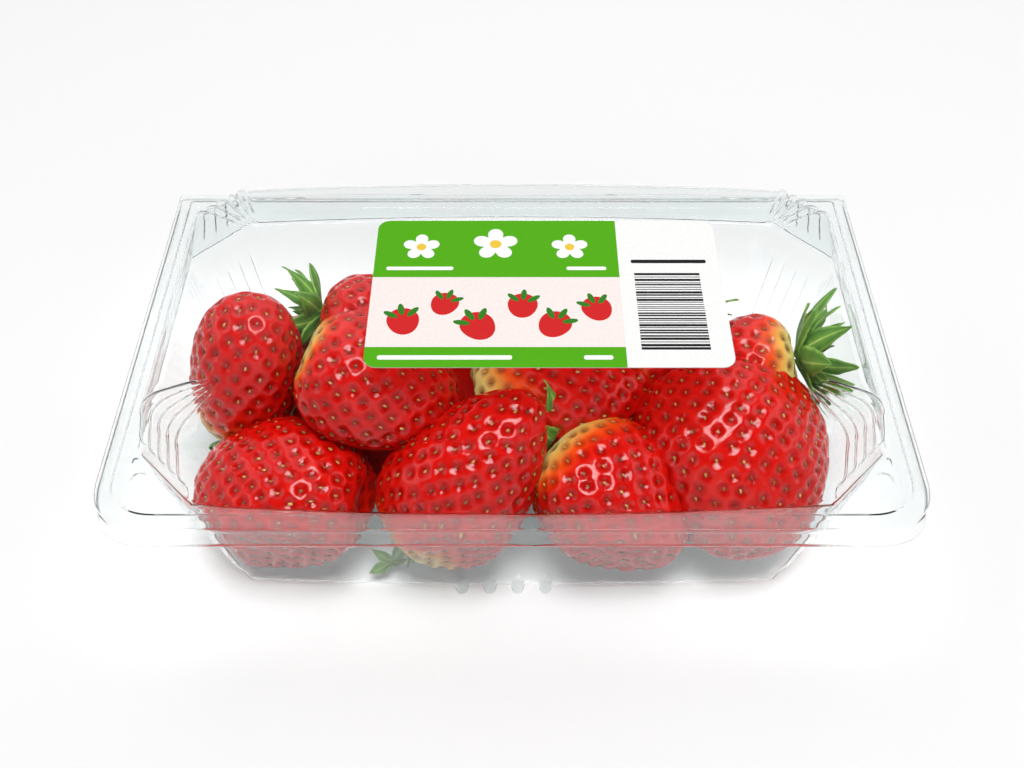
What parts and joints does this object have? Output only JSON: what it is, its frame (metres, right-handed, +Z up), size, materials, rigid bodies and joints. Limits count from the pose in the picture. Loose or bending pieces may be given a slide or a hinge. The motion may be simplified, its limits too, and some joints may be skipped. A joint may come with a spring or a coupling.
{
  "type": "punnet of strawberries",
  "caption": "Clear hinged punnet with a domed ribbed lid and a printed paper label, filled with whole ripe strawberries.",
  "frame": {"origin": "centre of the bounding box on the ground plane", "axes": "+X along the long side, to the right seen from the front; +Y from the front opening edge to the hinge at the back; +Z up"},
  "size_m": [0.186, 0.1108, 0.0619],
  "materials": {
    "clear_pet": "clear, thermoformed, glossy",
    "label_paper": "coated paper, semi-gloss print",
    "strawberry_skin": "ripe fruit skin, waxy gloss with sunken seeds",
    "strawberry_leaf": "fresh leaf, slightly hairy"
  },
  "bodies": {
    "tray_body": {"tray": "clear_pet", "strawberries": "strawberry_skin"},
    "lid_body": {"lid": "clear_pet", "label": "label_paper"}
  },
  "joints": [
    {"name": "lid_hinge", "type": "hinge", "parent": "tray_body", "child": "lid_body", "pos_m": [0, 0.05545, 0.04335], "axis": [-1, 0, 0], "range_deg": [0, 180]}
  ]
}
